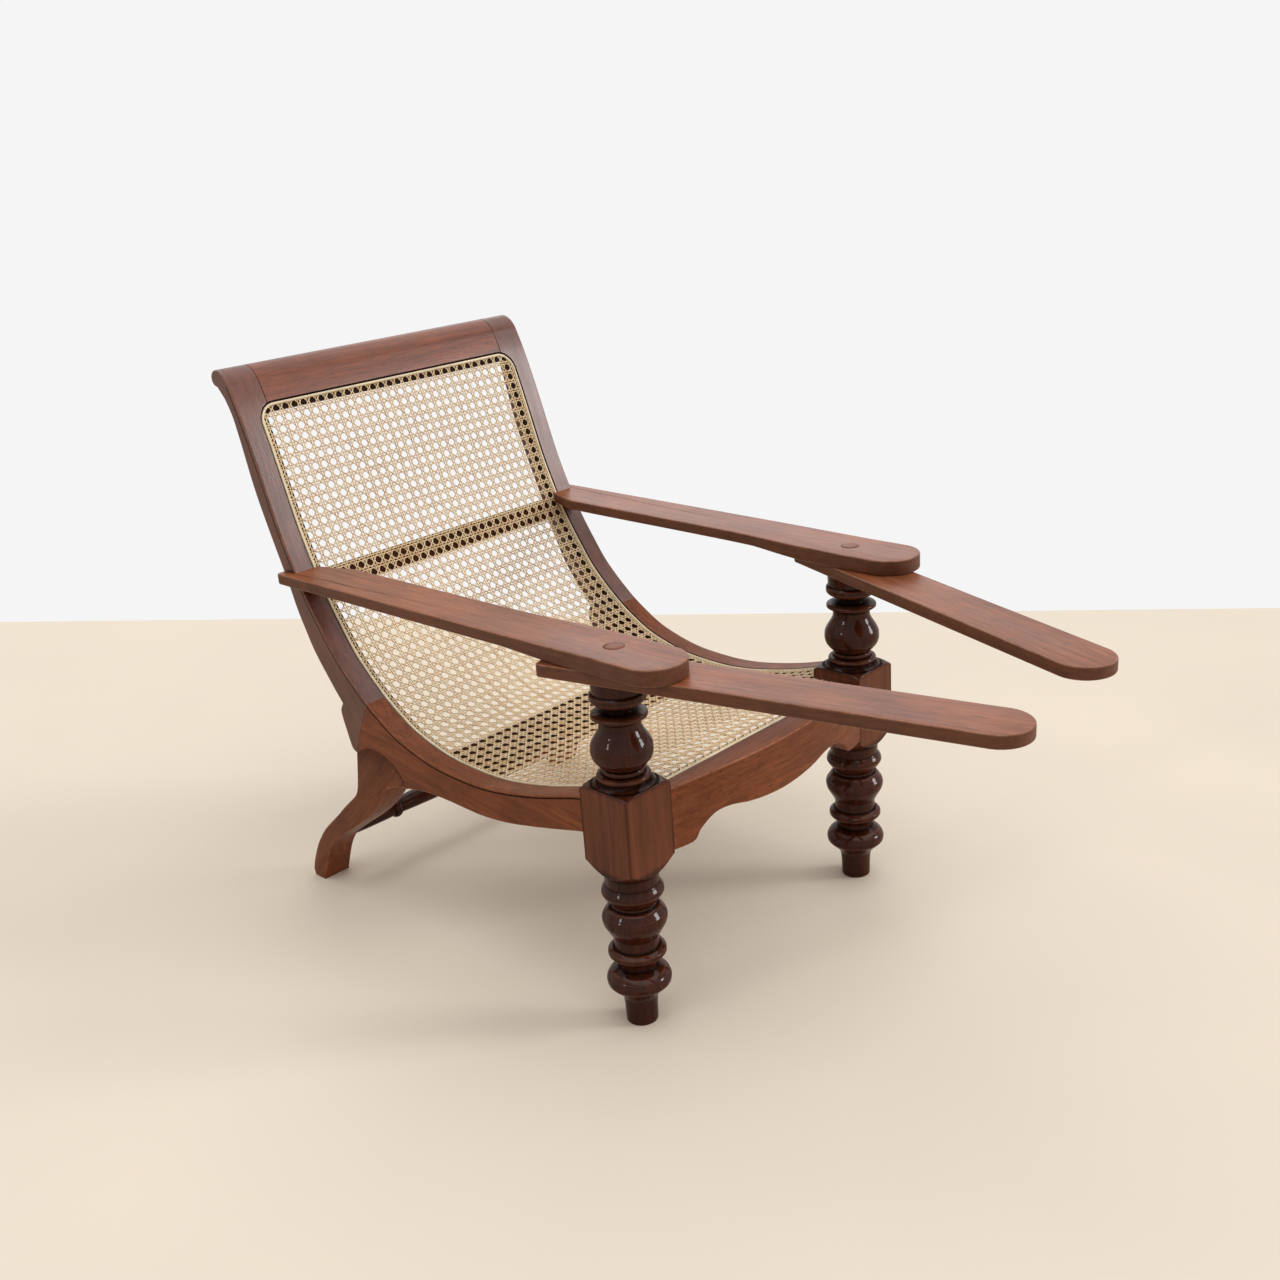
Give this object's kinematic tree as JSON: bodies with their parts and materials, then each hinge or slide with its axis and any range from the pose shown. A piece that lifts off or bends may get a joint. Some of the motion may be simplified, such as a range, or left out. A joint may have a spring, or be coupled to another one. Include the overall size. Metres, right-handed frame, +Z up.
{
  "type": "planters chair",
  "caption": "Reclining planters chair with a caned S-shaped seat, turned front legs and flat arms, with a leg-rest board under each arm that swings out.",
  "frame": {"origin": "on the floor, at the middle of the box round the chair with its leg-rest boards swung forward", "axes": "+Z up, -Y the way the chair faces, +X the sitter's left"},
  "size_m": [0.6778, 1.4046, 0.909],
  "materials": {
    "frame_wood": "satin, reddish brown, fine grain",
    "arm_wood": "satin, worn, lighter brown",
    "turned_wood": "polished, dark reddish brown",
    "cane": "woven cane sheet, honey to cream, slight sheen",
    "spline": "cream reed spline, matte",
    "dowel_wood": "bare wood"
  },
  "bodies": {
    "frame": {"back_stile_left": "frame_wood", "seat_rail_left": "frame_wood", "rear_leg_left": "frame_wood", "scarf_dowel_outer_left": "dowel_wood", "scarf_dowel_inner_left": "dowel_wood", "rear_leg_dowel_outer_left": "dowel_wood", "rear_leg_dowel_inner_left": "dowel_wood", "arm_peg_left": "dowel_wood", "armrest_left": "arm_wood", "back_stile_right": "frame_wood", "seat_rail_right": "frame_wood", "rear_leg_right": "frame_wood", "scarf_dowel_outer_right": "dowel_wood", "scarf_dowel_inner_right": "dowel_wood", "rear_leg_dowel_outer_right": "dowel_wood", "rear_leg_dowel_inner_right": "dowel_wood", "arm_peg_right": "dowel_wood", "armrest_right": "arm_wood", "front_leg_left": "turned_wood", "front_leg_right": "turned_wood", "crest_rail": "frame_wood", "front_rail": "frame_wood", "lumbar_rail": "frame_wood", "seat_slat": "frame_wood", "rear_stretcher": "turned_wood", "cane_panel": "cane", "cane_spline_left": "spline", "cane_spline_right": "spline", "cane_spline_front": "spline", "cane_spline_top": "spline"},
    "leg_rest_left": {"leg_rest_board_left": "arm_wood"},
    "leg_rest_right": {"leg_rest_board_right": "arm_wood"}
  },
  "joints": [
    {"name": "leg_rest_left_swing", "type": "hinge", "parent": "frame", "child": "leg_rest_left", "pos_m": [0.2648, -0.14566, 0.5532], "axis": [0, 0, 1], "range_deg": [-4, 200]},
    {"name": "leg_rest_right_swing", "type": "hinge", "parent": "frame", "child": "leg_rest_right", "pos_m": [-0.2752, -0.14566, 0.5532], "axis": [0, 0, 1], "range_deg": [-192.9, 11.1]}
  ]
}
